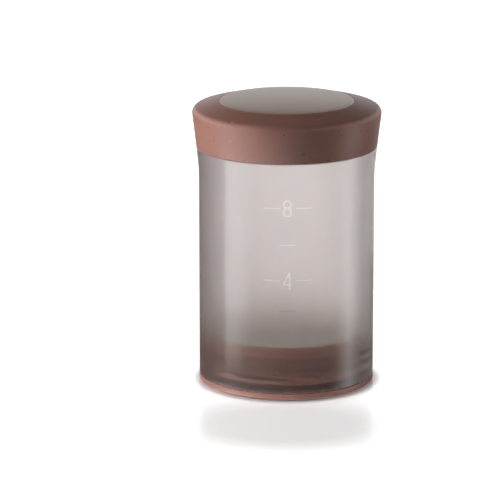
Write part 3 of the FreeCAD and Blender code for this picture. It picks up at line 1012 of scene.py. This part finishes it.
class COFFEE_OT_base(CoffeeOperator):
    """Build the base with its screw plug and port plate"""

    bl_idname = "coffee.base"
    bl_label = "Base"

    def execute(self, context):
        look = context.scene.base_look
        edge = look.edge
        low, high = HOUSING[0].z, HOUSING[1].z
        plate = SEAL[1].z + look.plate_gap
        top = plate + look.web
        plug = lathe(
            "base_plug",
            [
                (look.bearing, plate, 0),
                (look.skirt_radius, plate, edge),
                (look.skirt_radius, low, edge),
                (HOUSING[1].x, low, edge),
                (HOUSING[1].x, look.flange_top, edge),
                (look.groove_radius, look.flange_top, edge),
                (look.groove_radius, look.plug_bottom, edge),
                (look.plug_radius, look.plug_bottom, edge),
                (look.plug_radius, high, edge * 2),
                (look.pocket_radius, high, edge),
                (look.pocket_radius, look.ledge_height, edge),
                (look.ledge_radius, look.ledge_height, edge),
                (look.ledge_radius, top, edge * 3),
                (look.seat_radius, top, edge),
                (look.seat_radius, top - look.seat_depth, 0),
                (look.bearing, top - look.seat_depth, 0),
            ],
        )
        carve(plug, port_tools(look, plate, top, look.plate_port))
        stops = [
            stop_tool(look, SEAL[0].z + look.plate_gap, plate + look.web / 2, turn)
            for turn in (look.closed_stop, look.open_stop)
        ]
        carve(plug, stops, "UNION")
        dress(plug, "mauve")
        place(plug, "base", "mauve_plastic", "base_housing")
        dress_nodes("silicone", "base_gasket")
        return {"FINISHED"}


class COFFEE_OT_foot(CoffeeOperator):
    """Build the foot dial with its ribs, and dress its pad"""

    bl_idname = "coffee.foot"
    bl_label = "Foot dial"

    def execute(self, context):
        look = context.scene.base_look
        edge = look.edge
        web_top = SEAL[0].z
        web = web_top - look.web
        bore = look.spigot_radius - look.spigot_wall
        well = look.well_radius + look.well_wall
        collar = look.collar_radius + look.collar_wall
        pad = PAD[1].x + PAD_ROOM
        dial = lathe(
            "foot_dial_ring",
            [
                (look.bearing, web, 0),
                (look.well_radius, web, 0),
                (look.well_radius, look.well_bottom, edge),
                (well, look.well_bottom, edge),
                (well, web, edge),
                (look.collar_radius, web, edge),
                (look.collar_radius, look.collar_bottom, edge),
                (collar, look.collar_bottom, edge),
                (collar, web, edge),
                (bore, web, edge),
                (bore, PAD[1].z, edge),
                (pad, PAD[1].z, 0),
                (pad, FOOT[0].z, edge),
                (FOOT[1].x, FOOT[0].z, look.foot_corner),
                (FOOT[1].x, look.foot_height, edge),
                (look.spigot_radius, look.foot_height, edge),
                (look.spigot_radius, web_top, edge),
                (look.boss_radius, web_top, 0),
                (look.boss_radius, SEAL[1].z, edge),
                (look.bearing, SEAL[1].z, 0),
            ],
        )
        carve(dial, port_tools(look, web, web_top, look.dial_port))
        carve(dial, [stop_tool(look, web_top - look.web / 2, SEAL[1].z, 0.0)], "UNION")
        dress(dial, "mauve")
        place(dial, "foot", "mauve_plastic", "foot_dial")
        inner, outer = collar - look.collar_wall / 2, bore + look.spigot_wall / 2
        low, high = look.collar_bottom, web + look.web / 2
        ribs = grown(
            "dial_ribs",
            bars_tree(),
            Count=look.ribs,
            Apart=TURN / look.ribs,
            Size=(outer - inner, look.rib_width, high - low),
            Middle=((outer + inner) / 2, 0.0, (high + low) / 2),
            Material=material("mauve"),
        )
        place(ribs, "foot", "mauve_plastic")
        dress_nodes("silicone", "foot_pad")
        return {"FINISHED"}


class COFFEE_OT_threads(CoffeeOperator):
    """Build the screw threads of neck, lid, plug and chamber"""

    bl_idname = "coffee.threads"
    bl_label = "Threads"

    def execute(self, context):
        look = context.scene.thread_look
        chamber = context.scene.chamber_look
        lid = context.scene.lid_look
        base = context.scene.base_look
        bore = FOOT[1].x - chamber.wall
        neck = bore + chamber.neck_wall
        tree = thread_tree()
        top = (look.neck_start, look.neck_turns)
        foot = (look.plug_start, look.plug_turns)
        clear = ("polished", "frosted_plastic")
        mauve = ("mauve", "mauve_plastic")
        threads = (
            ("neck_thread", "chamber", neck, top, 0.0, clear),
            ("lid_thread", "lid", lid.bore, top, 0.5, mauve),
            ("plug_thread", "base", base.plug_radius, foot, 0.0, mauve),
            ("chamber_thread", "chamber", bore, foot, 0.5, clear),
        )
        for name, body, radius, (bottom, turns), shift, (finish, slot) in threads:
            piece = grown(
                name,
                tree,
                Radius=radius,
                Start=(0.0, 0.0, bottom),
                Rise=look.lead * turns,
                Turns=turns,
                Starts=look.starts,
                Apart=TURN / look.starts,
                Phase=shift * TURN / look.starts,
                Height=look.ridge * 2,  # half of it lies in the wall
                Foot=look.width,
                Crest=look.width * CREST_SHARE,
                Material=material(finish),
            )
            place(piece, body, slot)
        return {"FINISHED"}


class COFFEE_OT_filter(CoffeeOperator):
    """Build the filter's perforated mesh and dress the rest of the filter"""

    bl_idname = "coffee.filter"
    bl_label = "Filter"

    def execute(self, context):
        look = context.scene.filter_look
        radius, bottom = MESH[1].x, MESH[0].z
        thickness = MESH[1].z - bottom
        row = look.pitch * ROOT_THREE / 2
        columns = 2 * math.ceil(radius / look.pitch)
        rows = 2 * math.ceil(radius / row)
        sheet = grown(
            "perforated_mesh",
            perforated_tree(),
            Cell=look.pitch / ROOT_THREE,
            Hole=look.hole,
            Sides=look.sides,
            Width=columns * look.pitch,
            Depth=rows * row,
            Columns=columns + 1,
            Rows=rows + 1,
            Row=row,
            Inside=radius - look.border,
            Band=look.border * 2,
            Thickness=thickness,
            Rim=thickness + look.bead,
            Bottom=(0.0, 0.0, bottom),
            Middle=(0.0, 0.0, bottom + thickness / 2),
            Weld=look.pitch * WELD_SHARE,
            Material=material("steel"),
        )
        place(sheet, "filter", "stainless_steel", "filter_mesh")
        dress_nodes("natural", "filter_frame", "filter_clamp")
        dress_nodes("silicone", "filter_gasket")
        return {"FINISHED"}


class COFFEE_OT_valve(CoffeeOperator):
    """Dress the pivot and seals of the drain valve"""

    bl_idname = "coffee.valve"
    bl_label = "Drain valve"

    def execute(self, context):
        dress_nodes("silicone", "valve_seal", "pivot_seal")
        dress_nodes("steel", "valve_pivot", "valve_spring", "pivot_washer", "pivot_clip")
        return {"FINISHED"}


def softbox(name, azimuth, distance, size, power, level, aim=0.06, spread=180):
    """A lamp panel that faces the object from an angle to the right of the front."""
    lamp = bpy.data.lights.new(name, "AREA")
    lamp.shape = "RECTANGLE"
    lamp.size, lamp.size_y = size
    lamp.energy = power
    lamp.spread = math.radians(spread)
    panel = bpy.data.objects.new(name, lamp)
    turn = math.radians(azimuth)
    panel.location = (distance * math.sin(turn), -distance * math.cos(turn), level)
    facing = Vector((0, 0, aim)) - panel.location
    panel.rotation_euler = facing.to_track_quat("-Z", "Y").to_euler()
    panel.visible_glossy = panel.visible_camera = panel.visible_transmission = False
    bpy.context.scene.collection.objects.link(panel)


def card(name, angles, radius, heights, tint="#ffffff", strength=1.0, fade=0.0, rise=0.0):
    """An upright curved card; its glow rises and fades over those shares of its width."""
    work = bmesh.new()
    glow = work.verts.layers.float.new("glow")
    start, end = angles
    rows = []
    for step in range(CARD_STEPS + 1):
        share = step / CARD_STEPS
        turn = math.radians(start + (end - start) * share)
        way = (radius * math.sin(turn), -radius * math.cos(turn))
        row = [work.verts.new((*way, height)) for height in heights]
        level = strength
        level *= min(1.0, (1 - share) / fade) ** 2 if fade else 1.0
        level *= min(1.0, share / rise) ** 2 if rise else 1.0
        for vertex in row:
            vertex[glow] = level
        rows.append(row)
    for near, far in zip(rows, rows[1:]):
        work.faces.new((near[0], far[0], far[1], near[1]))
    return reflector(name, work, tint)


def reflector(name, work, tint):
    """A stage piece from a bmesh with a glow, which only reflections see."""
    mesh = bpy.data.meshes.new(name)
    work.to_mesh(mesh)
    work.free()
    board, tree = new_material(name)
    level = add_node(tree, "ShaderNodeAttribute", {"attribute_name": "glow"}).outputs["Fac"]
    glow = add_node(tree, "ShaderNodeEmission", Color=linear(tint), Strength=level)
    add_node(tree, "ShaderNodeOutputMaterial", Surface=glow)
    mesh.materials.append(board)
    panel = new_piece(name, mesh)
    panel.visible_camera = panel.visible_diffuse = False
    panel.visible_transmission = panel.visible_shadow = False
    return panel


def flag(name, angles, heights, tint, strength=1.0):
    """A far card that is seen only through the frosted wall."""
    panel = card(name, angles, FLAG_RADIUS, heights, tint, strength)
    panel.visible_glossy = False
    panel.visible_transmission = True


def around(tree, near, near_level, far, far_level, shift=(0, 0, 0), stretch=(1, 1, 1)):
    """A level that changes with the distance from a point on the floor."""
    spot = add_node(tree, "ShaderNodeTexCoord").outputs["Object"]
    spot = add_node(tree, "ShaderNodeMapping", Vector=spot, Location=shift, Scale=stretch)
    away = add_node(tree, "ShaderNodeVectorMath", {"operation": "LENGTH"}, _0=spot)
    return add_node(
        tree,
        "ShaderNodeMapRange",
        {"interpolation_type": "SMOOTHSTEP"},
        Value=away.outputs["Value"],
        From_Min=near,
        From_Max=far,
        To_Min=near_level,
        To_Max=far_level,
    )


def lay_floor():
    """A glossy white sheet, whose glow makes it white to the camera and through the frost,
    with painted shade near the foot where that glow is dimmed.
    """
    work = bmesh.new()
    bmesh.ops.create_grid(work, x_segments=1, y_segments=1, size=6.0)
    mesh = bpy.data.meshes.new("floor")
    work.to_mesh(mesh)
    work.free()
    floor = new_piece("floor", mesh)
    sheet, tree = new_material("white_gloss_sheet")
    gloss = add_node(
        tree, "ShaderNodeBsdfPrincipled", Base_Color=linear("#e6e6e6"), Roughness=0.12, IOR=1.9
    )
    rays = add_node(tree, "ShaderNodeLightPath").outputs
    # Painted shade in the floor's glow: a painted shadow as a dark line under the foot, the
    # glow dimmed before the foot so that the real gloss reflection there shows darker, and the
    # glow seen through the frost dimmed near the object and white far off
    painted_contact_shadow = around(tree, near=0.0365, near_level=0.1, far=0.0425, far_level=1.0)
    # Painted shade: the glow is dimmed in front of the foot, under the real reflection in the
    # gloss
    painted_front_shade = around(
        tree,
        near=0.02,
        near_level=0.37,
        far=0.055,
        far_level=0.82,
        shift=(0.0, 0.07, 0.0),
        stretch=(0.75, 1.0, 1.0),
    )
    # Painted shade: the glow seen through the frost is dimmed near the object and reaches
    # white far off
    painted_shade_behind = around(
        tree, near=0.27, near_level=0.0, far=0.52, far_level=1.0, shift=(0.3, 0.1, 0.0)
    )
    times = ("ShaderNodeMath", {"operation": "MULTIPLY"})
    # The floor's glow for the camera, with its painted shadow and painted shade
    painted_floor_shade = add_node(tree, *times, _0=painted_contact_shadow, _1=painted_front_shade)
    direct = add_node(tree, *times, _0=rays["Is Camera Ray"], _1=painted_floor_shade)
    through = add_node(tree, *times, _0=rays["Is Transmission Ray"], _1=painted_shade_behind)
    level = add_node(tree, "ShaderNodeMath", {"operation": "MAXIMUM"}, _0=direct, _1=through)
    lift = add_node(tree, "ShaderNodeEmission", Strength=level)
    both = add_node(tree, "ShaderNodeAddShader", _0=gloss, _1=lift)
    add_node(tree, "ShaderNodeOutputMaterial", Surface=both)
    mesh.materials.append(sheet)
    floor.visible_glossy = False


def light_room(scene):
    """A world that is dim as a light, and white to the camera, in gloss and through frost."""
    scene.world = bpy.data.worlds.new("studio")
    scene.world.use_nodes = True
    tree = scene.world.node_tree
    tree.nodes.clear()
    rays = add_node(tree, "ShaderNodeLightPath").outputs
    seen = rays["Is Camera Ray"]
    for kind in ("Is Glossy Ray", "Is Transmission Ray"):
        seen = add_node(
            tree, "ShaderNodeMath", {"operation": "MAXIMUM"}, _0=seen, _1=rays[kind]
        )
    room, white = (
        add_node(tree, "ShaderNodeBackground", Color=linear("#ffffff"), Strength=strength)
        for strength in (0.08, 1.0)
    )
    both = add_node(tree, "ShaderNodeMixShader", _0=seen, _1=room, _2=white)
    add_node(tree, "ShaderNodeOutputWorld", Surface=both)


class COFFEE_OT_stage(CoffeeOperator):
    """Build the floor, the light and the camera"""

    bl_idname = "coffee.stage"
    bl_label = "Stage"

    def execute(self, context):
        scene = context.scene
        lay_floor()
        light_room(scene)
        softbox("softbox_left", -82, 0.7, (0.5, 0.7), power=13.0, level=0.06)
        softbox("softbox_right", 95, 0.9, (0.4, 0.6), power=3.4, level=0.06)
        softbox("softbox_top", 20, 0.2, (0.5, 0.5), power=0.6, level=0.62, aim=0.1)
        softbox("strip_low", -12, 0.3, (0.16, 0.006), 0.003, level=0.004, aim=0.002, spread=5)

        # Cards in reflections: angles to the right of the front, distance and heights
        card("light_card_left", (-86, -34), 0.7, (-0.21, 0.1), strength=2.5, fade=0.6)
        shine = {"strength": 10.5, "fade": 0.3, "rise": 0.35}
        card("light_card_flank", (-134, -32), 0.72, (-0.62, -0.32), **shine)
        card("light_card_low", (-84, 70), 0.7, (-0.62, -0.3), strength=9.0, fade=0.75)
        shine = {"strength": 2.0, "fade": 0.5, "rise": 0.5}
        card("light_card_right", (54, 122), 0.85, (-1.2, 0.1), **shine)
        card("dark_card_front", (-86, 62), 0.9, (-1.2, 0.1), "#5a5a5a")
        card("dark_card_left", (-164, -86), 0.9, (-1.2, 0.1), "#74605a")
        card("dark_card_right", (110, 164), 0.9, (-0.18, 0.1), "#b8b4b2")
        card("dark_card_corner", (110, 164), 0.9, (-1.2, -0.18), "#5c5654")
        # A dark board over the object shades the crown and the disc towards the front
        top = bmesh.new()
        glow = top.verts.layers.float.new("glow")
        above = Matrix.Translation((0, 0, 0.56)) @ Matrix.Scale(0.32, 4, (1, 0, 0))
        bmesh.ops.create_circle(top, cap_ends=True, segments=48, radius=1.6, matrix=above)
        for vertex in top.verts:
            vertex[glow] = 1.0
        reflector("dark_card_top", top, "#3c3c3c")

        # Flags seen through the frost, warm where the light falls through onto the plug
        flag("flag_left", (-168, -88), (0.0, 0.6), "#7a706c")
        flag("flag_front_left", (-88, -14), (0.02, 0.62), "#e6ccc0", 5.0)
        flag("flag_front", (-14, 110), (0.0, 0.6), "#e6c4b6", 1.2)
        flag("flag_right", (125, 160), (0.0, 0.6), "#ffffff")

        camera = bpy.data.cameras.new("camera")
        camera.lens = 271.5
        camera.sensor_width = 36.0
        camera.clip_end = 20.0
        stand = bpy.data.objects.new("camera", camera)
        stand.location = (0, -1.5455, 0.4501)
        stand.rotation_euler = (math.radians(75.688), 0, math.radians(0.572))
        scene.collection.objects.link(stand)
        scene.camera = stand
        scene.view_settings.view_transform = "Standard"
        return {"FINISHED"}


OPERATORS = (
    COFFEE_OT_stage,
    COFFEE_OT_chamber,
    COFFEE_OT_lid,
    COFFEE_OT_base,
    COFFEE_OT_foot,
    COFFEE_OT_threads,
    COFFEE_OT_filter,
    COFFEE_OT_valve,
)


class COFFEE_PT_panel(bpy.types.Panel):
    """Lists the pieces of the coffee maker"""

    bl_label = "Coffee maker"
    bl_idname = "COFFEE_PT_panel"
    bl_space_type = "VIEW_3D"
    bl_region_type = "UI"
    bl_category = "Coffee maker"

    def draw(self, context):
        column = self.layout.column(align=True)
        for operator in OPERATORS:
            column.operator(operator.bl_idname)


LOOKS = {
    "chamber_look": ChamberLook,
    "mark_look": MarkLook,
    "lid_look": LidLook,
    "base_look": BaseLook,
    "thread_look": ThreadLook,
    "filter_look": FilterLook,
}


def register():
    for name, look in LOOKS.items():
        bpy.utils.register_class(look)
        setattr(bpy.types.Scene, name, PointerProperty(type=look))
    for operator in OPERATORS:
        bpy.utils.register_class(operator)
    bpy.utils.register_class(COFFEE_PT_panel)


def unregister():
    bpy.utils.unregister_class(COFFEE_PT_panel)
    for operator in reversed(OPERATORS):
        bpy.utils.unregister_class(operator)
    for name, look in LOOKS.items():
        delattr(bpy.types.Scene, name)
        bpy.utils.unregister_class(look)


def main():
    register()
    for operator in OPERATORS:
        family, name = operator.bl_idname.split(".")
        getattr(getattr(bpy.ops, family), name)()


if __name__ == "__main__":
    main()
